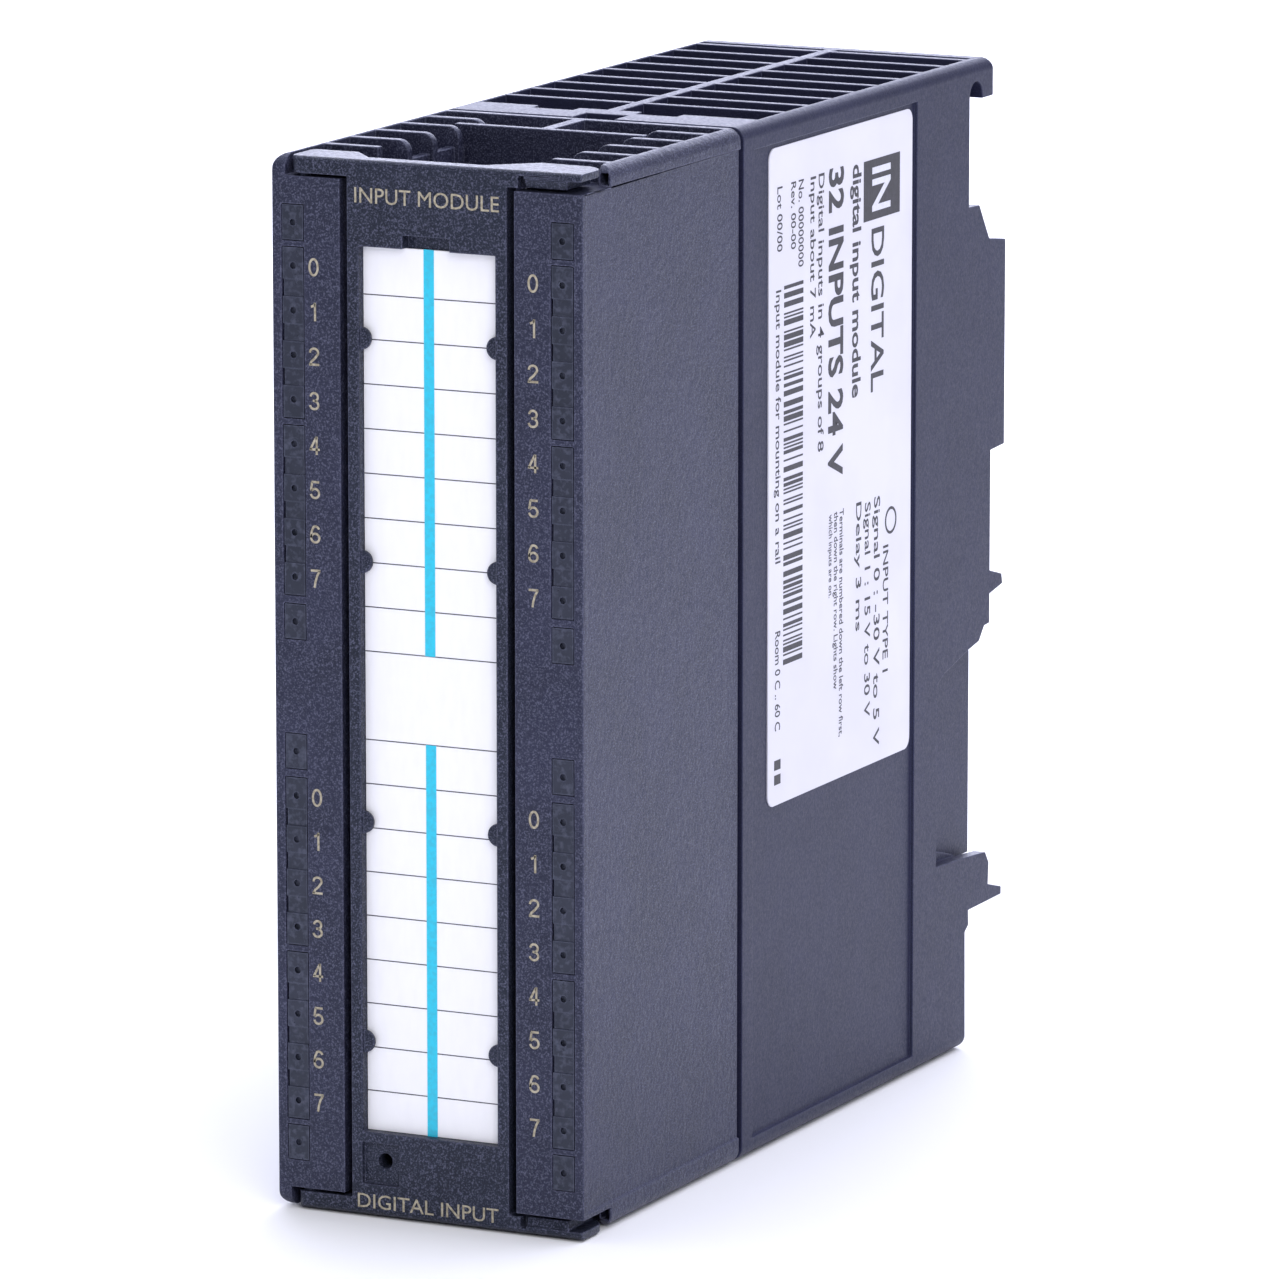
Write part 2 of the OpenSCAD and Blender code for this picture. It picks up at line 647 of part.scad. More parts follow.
rear_housing();
front_housing();
front_door();
label_strip();
rating_label();
for (side = ["left", "right"], k = [1:4]) {
    on_side(side) light_guide(guide_z[k - 1]);
    on_side(side) window_blank(blank_z[k - 1]);
}
for (side = ["left", "right"]) {
    on_side(side) board();
    on_side(side) lights();
    on_side(side) contacts();
    on_side(side) optocouplers();
    on_side(side) resistors();
    on_side(side) capacitors();
}
bus_board();
contact_block();
connector_insert();
coding_key();
supply_capacitor();
bus_chip();
crystal();
bus_socket();
bus_contacts();
captive_washer();
fixing_screw();
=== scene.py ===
# Digital input module for a rail-mounted programmable controller: the looks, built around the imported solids.
import math
import bmesh
import bpy
import numpy as np
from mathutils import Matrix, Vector


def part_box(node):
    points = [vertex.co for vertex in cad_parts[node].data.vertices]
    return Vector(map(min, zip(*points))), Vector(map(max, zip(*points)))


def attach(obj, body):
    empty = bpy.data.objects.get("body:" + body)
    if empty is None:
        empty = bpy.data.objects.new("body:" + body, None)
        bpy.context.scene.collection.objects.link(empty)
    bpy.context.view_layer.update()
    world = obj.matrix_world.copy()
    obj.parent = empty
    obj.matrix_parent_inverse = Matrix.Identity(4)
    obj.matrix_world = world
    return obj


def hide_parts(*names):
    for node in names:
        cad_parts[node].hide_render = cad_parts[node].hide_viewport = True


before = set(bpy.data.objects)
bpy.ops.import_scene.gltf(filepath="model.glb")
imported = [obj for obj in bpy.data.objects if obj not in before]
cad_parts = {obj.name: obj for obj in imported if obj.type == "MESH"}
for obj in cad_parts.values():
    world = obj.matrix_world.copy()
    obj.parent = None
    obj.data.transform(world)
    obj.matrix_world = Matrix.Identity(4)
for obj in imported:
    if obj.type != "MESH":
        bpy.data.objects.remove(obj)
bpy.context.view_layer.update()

# --- The view -----------------------------------------------------------------------------------
# A long lens looks at the door and the right side from a little above. It stands far off, so the
# upright edges of the module stay nearly parallel.
VIEW_AZIMUTH, VIEW_ELEVATION = math.radians(25.824), math.radians(10.890)
VIEW_DISTANCE = 1.16024
AIM = Vector((0.0, -0.002, 0.0625))
VIEW_RIGHT_BY, VIEW_UP_BY = -0.00075, -0.00296
SENSOR_MM, LENS_MM = 36, 269.6

camera_data = bpy.data.cameras.new("camera")
camera_data.sensor_width = SENSOR_MM
camera_data.lens = LENS_MM
camera_data.clip_start, camera_data.clip_end = 0.05, 20
camera = bpy.data.objects.new("camera", camera_data)
bpy.context.scene.collection.objects.link(camera)
back = Vector((math.sin(VIEW_AZIMUTH) * math.cos(VIEW_ELEVATION),
               -math.cos(VIEW_AZIMUTH) * math.cos(VIEW_ELEVATION), math.sin(VIEW_ELEVATION)))
right = Vector((math.cos(VIEW_AZIMUTH), math.sin(VIEW_AZIMUTH), 0))
camera.location = (AIM + back * VIEW_DISTANCE + right * VIEW_RIGHT_BY
                   + back.cross(right) * VIEW_UP_BY)
camera.rotation_mode = "QUATERNION"
camera.rotation_quaternion = (-back).to_track_quat("-Z", "Y")
bpy.context.scene.camera = camera

# --- The light and the floor ----------------------------------------------------------------------
# A plain pale floor under a broad lit ceiling, with soft boxes behind the module, which glance off
# the rib tops, over it, on its right and in front, in a pale room.
def soft_box(name, place, aim, width, height, watts, tint):
    """A rectangular lamp at a place, turned to shine at its aim."""
    data = bpy.data.lights.new(name, "AREA")
    data.shape, data.size, data.size_y = "RECTANGLE", width, height
    data.energy, data.color = watts, tint
    lamp = bpy.data.objects.new(name, data)
    lamp.location = place
    lamp.rotation_mode = "QUATERNION"
    lamp.rotation_quaternion = (Vector(aim) - Vector(place)).to_track_quat("-Z", "Y")
    bpy.context.scene.collection.objects.link(lamp)


COOL, WARM, SKY = (0.78, 0.80, 1.0), (1, 0.98, 0.96), (0.92, 0.93, 1.0)
soft_box("ceiling", (0, 0.8, 2.2), (0, 0.8, 0), 4.5, 4.5, 62, SKY)
soft_box("behind", (-0.62, 1.25, 0.42), (0, 0, 0.12), 1.3, 0.7, 15, COOL)
soft_box("over", (0.05, 0.30, 0.75), (0, 0, 0.10), 0.9, 0.7, 4, COOL)
soft_box("beside", (0.95, 0.15, 0.30), (0, 0, 0.06), 0.8, 0.7, 2.0, COOL)
soft_box("before", (0.75, -1.0, 0.75), (0, 0, 0.06), 0.6, 0.6, 6.5, WARM)

bpy.context.scene.view_settings.view_transform = "Standard"
world = bpy.data.worlds.new("room")
world.use_nodes = True
room_light = world.node_tree.nodes["Background"]
room_light.inputs["Color"].default_value = (0.86, 0.88, 1, 1)
room_light.inputs["Strength"].default_value = 0.46
bpy.context.scene.world = world


def material(name):
    """A new node material: (its node tree, its shader)."""
    paint = bpy.data.materials.new(name)
    paint.use_nodes = True
    return paint, paint.node_tree.nodes["Principled BSDF"]


def node(paint, kind, inputs, **settings):
    """One more node in a material, with its inputs set to values or joined to other nodes."""
    made = paint.node_tree.nodes.new("ShaderNode" + kind)
    for key, value in settings.items():
        setattr(made, key, value)
    for key, value in inputs.items():
        if isinstance(value, bpy.types.NodeSocket):
            paint.node_tree.links.new(value, made.inputs[key])
        else:
            made.inputs[key].default_value = value
    return made


def join(paint, source, target):
    """Links an output to an input in a material."""
    paint.node_tree.links.new(source, target)


def noise(paint, size, detail=2.0, stretch=(1, 1, 1)):
    """Noise with lumps of the given size in metres, on the piece's own coordinates."""
    place = node(paint, "TexCoord", {}).outputs["Object"]
    scaled = node(paint, "Mapping", {"Vector": place, "Scale": stretch}).outputs["Vector"]
    return node(paint, "TexNoise", {"Vector": scaled, "Scale": 0.5 / size,
                                    "Detail": detail}).outputs["Fac"]


def shades(paint, factor, stops):
    """Colours along a factor: a list of (place, (r, g, b))."""
    ramp = node(paint, "ValToRGB", {"Fac": factor})
    band = ramp.color_ramp
    while len(band.elements) < len(stops):
        band.elements.new(0.5)
    for element, (place, colour) in zip(band.elements, stops):
        element.position = place
        element.color = (*colour, 1)
    return ramp.outputs["Color"]


def blend_colours(paint, factor, first, second):
    """The first colour where the factor is 0 and the second where it is 1."""
    mixed = node(paint, "Mix", {0: factor}, data_type="RGBA")
    for socket, colour in ((6, first), (7, second)):
        if isinstance(colour, bpy.types.NodeSocket):
            join(paint, colour, mixed.inputs[socket])
        else:
            mixed.inputs[socket].default_value = (*colour, 1)
    return mixed.outputs[2]


def relief(paint, shader, height, depth, strength=1.0, under=None):
    """Bump of the given depth in metres. under is another bump's output to lie on."""
    inputs = {"Height": height, "Distance": depth, "Strength": strength}
    if under is not None:
        inputs["Normal"] = under
    bump = node(paint, "Bump", inputs).outputs["Normal"]
    join(paint, bump, shader.inputs["Normal"])
    return bump


FLOOR_HALF, FLOOR_DROP = 3.0, 0.0002
floor_mesh = bpy.data.meshes.new("floor")
floor_mesh.from_pydata([(x, y, -FLOOR_DROP) for x, y in
                        ((-FLOOR_HALF, -FLOOR_HALF), (FLOOR_HALF, -FLOOR_HALF),
                         (FLOOR_HALF, FLOOR_HALF), (-FLOOR_HALF, FLOOR_HALF))], [], [(0, 1, 2, 3)])
floor = bpy.data.objects.new("floor", floor_mesh)
bpy.context.scene.collection.objects.link(floor)
floor_paint, floor_shader = material("floor_paint")
floor_shader.inputs["Roughness"].default_value = 0.85
floor_shader.inputs["Specular IOR Level"].default_value = 0.2
join(floor_paint, shades(floor_paint, noise(floor_paint, 0.2), [(0.3, (0.90, 0.90, 0.91)),
                                                                (0.7, (0.93, 0.93, 0.94))]),
     floor_shader.inputs["Base Color"])
floor_mesh.materials.append(floor_paint)

# --- The housing shells and the door --------------------------------------------------------------
# Two shells and a door, moulded in dark grey glass-filled polyamide. The moulds are spark-eroded,
# so the faces are matt with a fine grain, and every edge has a radius of about a tenth of a mm.
EDGE_RADIUS, HIGHLIGHT_EDGE_RADIUS = 0.00013, 0.0003
SHARP_ANGLE, SMOOTH_ANGLE = math.radians(36), math.radians(30)
PLASTIC_TINT = (0.75, 0.80, 1.0, 1)


def moulded_plastic(name, dark, light, roughness, grain_size, grain_depth, glint_colour, gloss=0.5):
    """Two near shades in clouds, pale painted glints in the grain, a paler painted highlight along
    the edges where the rounded normal turns away from the flat one, and a spark-eroded grain."""
    paint, shader = material(name)
    clouds = shades(paint, noise(paint, 0.004, 4), [(0.35, dark), (0.65, light)])
    grain = noise(paint, grain_size, 3)
    # Pale specks of painted glint, scattered through the grain.
    glint_mask = shades(paint, noise(paint, grain_size * 0.36, 3),
                    [(0.49, (0, 0, 0)), (0.70, (1, 1, 1))])
    glinted = blend_colours(paint, glint_mask, clouds, glint_colour)
    rounded = node(paint, "Bevel", {"Radius": HIGHLIGHT_EDGE_RADIUS}, samples=4).outputs["Normal"]
    facing = node(paint, "NewGeometry", {}).outputs["Normal"]
    turned = node(paint, "VectorMath", {0: rounded, 1: facing},
                  operation="DOT_PRODUCT").outputs["Value"]
    # The edge mask lays a paler painted highlight along the rounded edges, broken up by noise.
    edge = shades(paint, turned, [(0.78, (1, 1, 1)), (0.985, (0, 0, 0))])
    painted_edge_highlight = node(paint, "Math", {0: edge, 1: noise(paint, 0.0008, 3)},
                  operation="MULTIPLY").outputs["Value"]
    join(paint, blend_colours(paint, painted_edge_highlight, glinted, tuple(2.2 * c for c in glint_colour)),
         shader.inputs["Base Color"])
    join(paint, shades(paint, grain, [(0.3, (roughness - 0.07,) * 3),
                                      (0.7, (roughness + 0.09,) * 3)]),
         shader.inputs["Roughness"])
    shader.inputs["Specular IOR Level"].default_value = gloss
    shader.inputs["Specular Tint"].default_value = PLASTIC_TINT
    coarse = relief(paint, shader, noise(paint, grain_size * 3.5, 2), grain_depth * 1.5, 0.5)
    relief(paint, shader, grain, grain_depth, 0.8, coarse)
    return paint


def rounded_copy(node_name, piece_name, radius, paint):
    """A copy of the node's triangles, merged at their corners, with each edge sharper than the
    sharp angle cut back by the radius and carried round it in two steps."""
    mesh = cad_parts[node_name].data.copy()
    mesh.name = piece_name
    solid = bmesh.new()
    solid.from_mesh(mesh)
    bmesh.ops.remove_doubles(solid, verts=solid.verts, dist=2e-6)
    sharp = [e for e in solid.edges if e.is_manifold and e.calc_face_angle(0) > SHARP_ANGLE]
    bmesh.ops.bevel(solid, geom=sharp, offset=radius, offset_type="OFFSET", segments=2,
                    profile=0.5, affect="EDGES", clamp_overlap=False, loop_slide=False)
    bmesh.ops.triangulate(solid, faces=solid.faces[:])
    for face in solid.faces:
        face.smooth = True
    solid.to_mesh(mesh)
    solid.free()
    mesh.materials.clear()
    mesh.materials.append(paint)
    mesh.set_sharp_from_angle(angle=SMOOTH_ANGLE)
    piece = bpy.data.objects.new(piece_name, mesh)
    bpy.context.scene.collection.objects.link(piece)
    weights = piece.modifiers.new("flat_faces", "WEIGHTED_NORMAL")
    weights.keep_sharp, weights.weight = True, 100
    return piece


# The colour of the pale painted glints in the grain; 2.2 times it is the painted edge highlight.
GLINT_FLECK = (0.086, 0.090, 0.142)
shell_rough = moulded_plastic("front_shell_plastic", (0.009, 0.010, 0.025), (0.015, 0.016, 0.039),
                              0.46, 0.00028, 0.00013, GLINT_FLECK)
shell_fine = moulded_plastic("rear_shell_plastic", (0.008, 0.009, 0.026), (0.012, 0.013, 0.035),
                             0.47, 0.00018, 0.00003, (0.030, 0.031, 0.070), 0.40)
door_paint = moulded_plastic("door_plastic", (0.004, 0.006, 0.013), (0.008, 0.011, 0.022),
                             0.43, 0.00028, 0.00013, GLINT_FLECK, 0.45)
for node_name, piece_name, paint, body, slot in (
        ("front_housing", "front_shell", shell_rough, "housing", "housing_plastic"),
        ("rear_housing", "rear_shell", shell_fine, "housing", "housing_plastic"),
        ("front_door", "door_leaf", door_paint, "door", "door_plastic")):
    shell = rounded_copy(node_name, piece_name, EDGE_RADIUS, paint)
    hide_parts(node_name)
    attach(shell, body)

# --- The printed numbers and words on the front ---------------------------------------------------
# Channel numbers beside the light windows and plain words on the door, pad-printed in a pale
# sand-coloured ink that lies about a hundredth of a millimetre proud.
MID_Z = 0.0625
FACE_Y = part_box("front_door")[0].y
PRINT_DEPTH = 0.00002
CAPITAL_HEIGHT = 0.729
FIRST_LIGHT, LIGHT_PITCH = 0.013, 0.00522


def lettering(words, height, width=None, bold=0.0):
    """Words as flat letters of a given capital height, laid on z = 0 with their middle at x = 0
    and their foot on y = 0: (points, faces). A width squeezes them to fit."""
    curve = bpy.data.curves.new("words", "FONT")
    curve.body, curve.extrude, curve.offset = words, 0.01, bold
    curve.resolution_u = 3
    carrier = bpy.data.objects.new("words", curve)
    bpy.context.scene.collection.objects.link(carrier)
    seen = carrier.evaluated_get(bpy.context.evaluated_depsgraph_get())
    flat = bpy.data.meshes.new_from_object(seen)
    points = np.zeros(len(flat.vertices) * 3)
    flat.vertices.foreach_get("co", points)
    points = points.reshape(-1, 3)
    faces = [tuple(p.vertices) for p in flat.polygons]
    bpy.data.objects.remove(carrier)
    bpy.data.meshes.remove(flat)
    bpy.data.curves.remove(curve)
    scale = height / CAPITAL_HEIGHT
    low, high = points.min(0), points.max(0)
    across = scale if width is None else width / (high[0] - low[0])
    points[:, 0] = (points[:, 0] - (low[0] + high[0]) / 2) * across
    points[:, 1] *= scale
    points[:, 2] = np.sign(points[:, 2]) * 0.5 * PRINT_DEPTH
    return points, faces


def bars(boxes):
    """Flat bars as one mesh: each is (x0, x1, y0, y1), PRINT_DEPTH thick about z = 0."""
    x0, x1, y0, y1 = np.array(boxes, float).T
    z = np.full_like(x0, PRINT_DEPTH / 2)
    ring = np.stack([np.stack([x0, y0, -z], 1), np.stack([x1, y0, -z], 1), np.stack([x1, y1, -z], 1),
                     np.stack([x0, y1, -z], 1), np.stack([x0, y0, z], 1), np.stack([x1, y0, z], 1),
                     np.stack([x1, y1, z], 1), np.stack([x0, y1, z], 1)], 1)
    sides = np.array([(3, 2, 1, 0), (4, 5, 6, 7), (0, 1, 5, 4),
                      (1, 2, 6, 5), (2, 3, 7, 6), (3, 0, 4, 7)])
    faces = sides[None] + 8 * np.arange(len(x0))[:, None, None]
    return ring.reshape(-1, 3), [tuple(f) for f in faces.reshape(-1, 4).tolist()]


def printed(name, parts, origin, across, up, paint, body):
    """One printed piece: each part is ((points, faces), (x, y)), and its plane is set by the
    origin and the directions across and up, with the ink facing across x up."""
    across, up = np.array(across, float), np.array(up, float)
    out = np.cross(across, up)
    all_points, all_faces, count = [], [], 0
    for (points, faces), (x, y) in parts:
        all_points.append(np.array(origin) + (points[:, :1] + x) * across
                          + (points[:, 1:2] + y) * up + points[:, 2:] * out)
        all_faces += [tuple(i + count for i in face) for face in faces]
        count += len(points)
    mesh = bpy.data.meshes.new(name)
    mesh.from_pydata(np.concatenate(all_points).tolist(), [], all_faces)
    mesh.materials.append(paint)
    piece = bpy.data.objects.new(name, mesh)
    bpy.context.scene.collection.objects.link(piece)
    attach(piece, body)
    return piece


def ink(name, thin, full, roughness=0.5):
    """Ink that is a little thinner in places, so that two near shades show."""
    paint, shader = material(name)
    join(paint, shades(paint, noise(paint, 0.00025, 3), [(0.35, thin), (0.6, full)]),
         shader.inputs["Base Color"])
    shader.inputs["Roughness"].default_value = roughness
    relief(paint, shader, noise(paint, 0.00015), 0.000006)
    return paint


sand_ink = ink("sand_ink", (0.25, 0.215, 0.15), (0.45, 0.405, 0.305))
NUMBER_HEIGHT = 0.00215
PEN = 0.125


def bow(cx, cy, rx, ry, start, end, steps=18):
    """Points on an ellipse between two angles in degrees."""
    angle = np.radians(np.linspace(start, end, steps))
    return np.stack([cx + rx * np.cos(angle), cy + ry * np.sin(angle)], 1)


def stroke(path):
    """A flat rectangular profile, as wide as the pen, carried along a path in a unit-high box."""
    path = np.array(path, float)
    step = np.diff(path, axis=0)
    step /= np.linalg.norm(step, axis=1)[:, None]
    before, after = np.vstack([step[:1], step]), np.vstack([step, step[-1:]])
    along = before + after
    along /= np.linalg.norm(along, axis=1)[:, None]
    stretch = 1 / np.maximum((along * after).sum(1), 0.5)
    side = np.stack([-along[:, 1], along[:, 0]], 1) * (PEN / 2 * stretch)[:, None]
    z = PRINT_DEPTH / 2
    corners = [np.column_stack([(path + s * side) * NUMBER_HEIGHT, np.full(len(path), h)])
               for s, h in ((-1, -z), (1, -z), (1, z), (-1, z))]
    n = len(path)
    points = np.stack(corners, 1).reshape(-1, 3)
    k, c = np.meshgrid(np.arange(n - 1), np.arange(4), indexing="ij")
    d = (c + 1) % 4
    faces = np.stack([4 * k + c, 4 * k + d, 4 * (k + 1) + d, 4 * (k + 1) + c], -1).reshape(-1, 4)
    ends = [(3, 2, 1, 0), tuple(4 * (n - 1) + q for q in range(4))]
    return points, [tuple(f) for f in faces.tolist()] + ends


# The strokes of the digits 0 to 7, each a path in a box of height 1 about x = 0.
TOP, FOOT = 1 - PEN / 2, PEN / 2
digit_strokes = [
    [bow(0, 0.5, 0.25, 0.5 - PEN / 2, 90, 450, 40)],
    [[(0.07, 0), (0.07, 1)], [(0.07, 0.95), (0.0, 0.84), (-0.17, 0.77)]],
    [np.vstack([bow(0, 0.72, 0.245, 0.215, 185, -25),
                [(0.05, 0.41), (-0.16, 0.23), (-0.25, FOOT)]]),
     [(-0.31, FOOT), (0.31, FOOT)]],
    [np.vstack([bow(-0.01, 0.725, 0.22, 0.2125, 175, -80)]),
     np.vstack([bow(-0.01, 0.285, 0.25, 0.2225, 85, -175)]), [(-0.10, 0.515), (0.03, 0.515)]],
    [[(0.12, 0), (0.12, 1)], [(0.10, 0.97), (-0.26, 0.29)], [(-0.31, 0.29), (0.30, 0.29)]],
    [[(-0.20, TOP), (0.26, TOP)], [(-0.17, TOP), (-0.24, 0.46)],
     bow(0, 0.315, 0.25, 0.2525, 148, -170)],
    [bow(0, 0.30, 0.25, 0.2375, 90, 450, 36),
     np.vstack([bow(0.02, 0.70, 0.22, 0.2375, 20, 125),
                [(-0.21, 0.66), (-0.25, 0.46), (-0.25, 0.30)]])],
    [[(-0.28, TOP), (0.29, TOP)], [(0.26, TOP), (0.10, 0.66), (0.0, 0.35), (-0.06, 0)]]]
digits = []
for strokes in digit_strokes:
    points, faces = [], []
    for flat_points, flat_faces in map(stroke, strokes):
        faces += [tuple(i + sum(map(len, points)) for i in f) for f in flat_faces]
        points.append(flat_points)
    digits.append((np.concatenate(points), faces))
LEFT_NUMBERS_X, RIGHT_NUMBERS_X = -0.0146, 0.01365
for side, x in (("left", LEFT_NUMBERS_X), ("right", RIGHT_NUMBERS_X)):
    rows = [(digits[k], (x, z - NUMBER_HEIGHT / 2)) for k, z in
            [(k, FIRST_LIGHT + LIGHT_PITCH * (7 - k)) for k in range(8)]
            + [(k, -FIRST_LIGHT - LIGHT_PITCH * k) for k in range(8)]]
    printed(side + "_channel_numbers", rows, (0, FACE_Y - PRINT_DEPTH / 2, MID_Z),
            (1, 0, 0), (0, 0, 1), sand_ink, "housing")
printed("door_words",
        [(lettering("INPUT MODULE", 0.0019, 0.0186), (0.00005, 0.11995)),
         (lettering("DIGITAL INPUT", 0.0018, 0.01845), (-0.0003, 0.0010))],
        (0, FACE_Y - PRINT_DEPTH / 2, 0), (1, 0, 0), (0, 0, 1), sand_ink, "door")

# --- The labelling strip ---------------------------------------------------------------------------
# A strip of white card that slides down behind the window in the door. Two blocks of nine ruled
# rows and a turquoise stripe through each are printed on it.
ROW = 0.005236
strip_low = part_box("label_strip")[0]
window_low, window_high = 0.01014, 0.11486
FIRST_ROW_Z = 0.1144
RULING, RULING_HALF_LENGTH = 0.00013, 0.0089


def card_stock(name, shade, fibre):
    """White card with faint fibres."""
    paint, shader = material(name)
    join(paint, shades(paint, noise(paint, 0.0005, 4, (1, 1, 0.3)),
                       [(0.3, fibre), (0.7, shade)]), shader.inputs["Base Color"])
    shader.inputs["Roughness"].default_value = 0.62
    relief(paint, shader, noise(paint, 0.0002, 3), 0.000006)
    return paint


def coat(node_name, paint):
    """Gives a CAD node one material in place of its own."""
    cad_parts[node_name].data.materials.clear()
    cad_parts[node_name].data.materials.append(paint)


coat("label_strip", card_stock("strip_card", (0.95, 0.95, 0.98), (0.92, 0.92, 0.955)))
grey_ink = ink("ruling_ink", (0.10, 0.10, 0.13), (0.045, 0.045, 0.06))
turquoise_ink = ink("stripe_ink", (0.03, 0.50, 0.70), (0.02, 0.58, 0.80))
rulings = [FIRST_ROW_Z - k * ROW for k in range(1, 20) if k != 10]
printed("strip_rulings",
        [(bars([(-RULING_HALF_LENGTH, RULING_HALF_LENGTH, z - RULING / 2, z + RULING / 2)
                for z in rulings]), (0, 0))],
        (0, strip_low.y - PRINT_DEPTH / 2, 0), (1, 0, 0), (0, 0, 1), grey_ink, "door")
printed("strip_stripes", [(bars([(-0.00095, 0.00038, FIRST_ROW_Z - 9 * ROW, window_high),
                                 (-0.0009, 0.00043, window_low, FIRST_ROW_Z - 11 * ROW)]), (0, 0))],
        (0, strip_low.y - 1.5 * PRINT_DEPTH, 0), (1, 0, 0), (0, 0, 1), turquoise_ink, "door")

# --- The rating label -------------------------------------------------------------------------------
# A silvery-white polyester film stuck in the recess on the right side. Its print runs down the
# label: plain words, ruled marks and a bar code, in black.
label_low, label_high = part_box("rating_label")
film_paint, film_shader = material("rating_film")
join(film_paint, shades(film_paint, noise(film_paint, 0.006, 3),
                        [(0.35, (0.62, 0.61, 0.68)), (0.65, (0.66, 0.65, 0.72))]),
     film_shader.inputs["Base Color"])
film_shader.inputs["Roughness"].default_value = 0.38
relief(film_paint, film_shader, noise(film_paint, 0.0006, 2), 0.000005)
coat("rating_label", film_paint)
black_ink = ink("label_ink", (0.022, 0.020, 0.030), (0.010, 0.009, 0.014), 0.45)


def label_line(words, low, high, start, end, bold=0.007):
    """Words between two distances from the label's front edge, from start to end down from its
    top, all in millimetres."""
    return (lettering(words, (high - low) / 1000, (end - start) / 1000, bold),
            ((start + end) / 2000, low / 1000))


def ring(inner, outer, steps=40):
    """A flat ring: a rectangle carried round a circle."""
    angle = np.linspace(0, 2 * np.pi, steps, endpoint=False)
    z = PRINT_DEPTH / 2
    loops = [np.stack([r * np.cos(angle), r * np.sin(angle), np.full(steps, h)], 1)
             for r, h in ((outer, -z), (outer, z), (inner, z), (inner, -z))]
    k, m = np.meshgrid(np.arange(4), np.arange(steps), indexing="ij")
    n, t = (k + 1) % 4, (m + 1) % steps
    faces = np.stack([k * steps + m, k * steps + t, n * steps + t, n * steps + m], -1)
    return np.concatenate(loops), [tuple(f) for f in faces.reshape(-1, 4).tolist()]


# Bars and gaps of chance widths, drawn one after the other, that code nothing.
CODE_START, CODE_END, CODE_EDGES = 16.9, 62.9, 118
CODE_FOOT, CODE_TOP = 0.00425, 0.0097
seed = np.random.default_rng(7)
edges = np.cumsum(seed.choice([0.25, 0.25, 0.5, 0.75], CODE_EDGES))
edges = CODE_START + (edges - edges[0]) * (CODE_END - CODE_START) / (edges[-1] - edges[0])
code = [(a / 1000, b / 1000, CODE_FOOT, CODE_TOP) for a, b in zip(edges[0::2], edges[1::2])]
mark_block = [(0.0049, 0.0123, 0.0270, 0.0376)]
end_squares = [(0.0742, 0.0754, 0.0018, 0.0036), (0.0760, 0.0772, 0.0018, 0.0036)]
label_parts = [
    label_line("DIGITAL", 29.4, 33.2, 13.4, 33.5, 0.012),
    label_line("digital input module", 23.9, 26.4, 4.9, 33.4, 0.022),
    label_line("32 INPUTS 24 V", 17.1, 21.3, 4.5, 42.3, 0.028),
    label_line("Digital inputs in 4 groups of 8", 14.0, 15.7, 4.7, 38.5),
    label_line("Input about 7 mA", 11.7, 13.3, 4.8, 24.3),
    label_line("No. 00000000", 8.3, 9.8, 4.7, 15.2),
    label_line("Rev. 00-00", 6.2, 7.6, 4.7, 12.8),
    label_line("Lot 00/00", 2.3, 3.8, 4.8, 12.6),
    label_line("Input module for mounting on a rail", 2.0, 3.5, 17.2, 50.2),
    label_line("Room 0 C .. 60 C", 2.0, 3.5, 58.5, 70.6),
    label_line("INPUT TYPE 1", 33.2, 34.8, 53.1, 68.9),
    label_line("Signal 0 : -30 V to 5 V", 30.5, 32.3, 46.6, 77.7),
    label_line("Signal 1 : 15 V to 30 V", 27.8, 29.5, 46.9, 73.6),
    label_line("Delay 3 ms", 25.2, 26.8, 46.5, 62.4),
    label_line("Terminals are numbered down the left row first,", 20.4, 21.6, 46.5, 74.6),
    label_line("then down the right row. Lights show", 18.8, 20.0, 46.6, 68.5),
    label_line("which inputs are on.", 17.3, 18.4, 46.7, 56.9),
    (bars(mark_block), (0, 0)), (ring(0.00135, 0.0017), (0.0502, 0.0354)),
    (bars(code), (0, 0)), (bars(end_squares), (0, 0))]
printed("rating_print", label_parts,
        (label_high.x + PRINT_DEPTH / 2, label_low.y, label_high.z),
        (0, 0, -1), (0, 1, 0), black_ink, "housing")
white_ink = ink("white_ink", (0.60, 0.60, 0.68), (0.66, 0.66, 0.74), 0.45)
printed("rating_print_white", [label_line("IN", 29.6, 35.0, 5.9, 11.3, 0.02)],
        (label_high.x + 1.5 * PRINT_DEPTH, label_low.y, label_high.z),
        (0, 0, -1), (0, 1, 0), white_ink, "housing")

# --- The light windows ------------------------------------------------------------------------------
# Bars of four lenses that carry the status lights forward, and blanks of the same plastic. Both
# are moulded in smoky translucent polycarbonate and clipped into the columns from behind.
# The lenses take the same painted edge highlight and painted glints as the housing plastic.
smoky = moulded_plastic("smoky_polycarbonate", (0.005, 0.007, 0.014), (0.012, 0.014, 0.026),
                        0.34, 0.0009, 0.00004, (0.05, 0.055, 0.085))
smoky_shader = smoky.node_tree.nodes["Principled BSDF"]
smoky_shader.inputs["Transmission Weight"].default_value = 0.15
smoky_shader.inputs["IOR"].default_value = 1.58
for side in ("left", "right"):
    for k in range(1, 5):
        coat(f"{side}_light_guide_{k}", smoky)
        coat(f"{side}_window_blank_{k}", smoky)

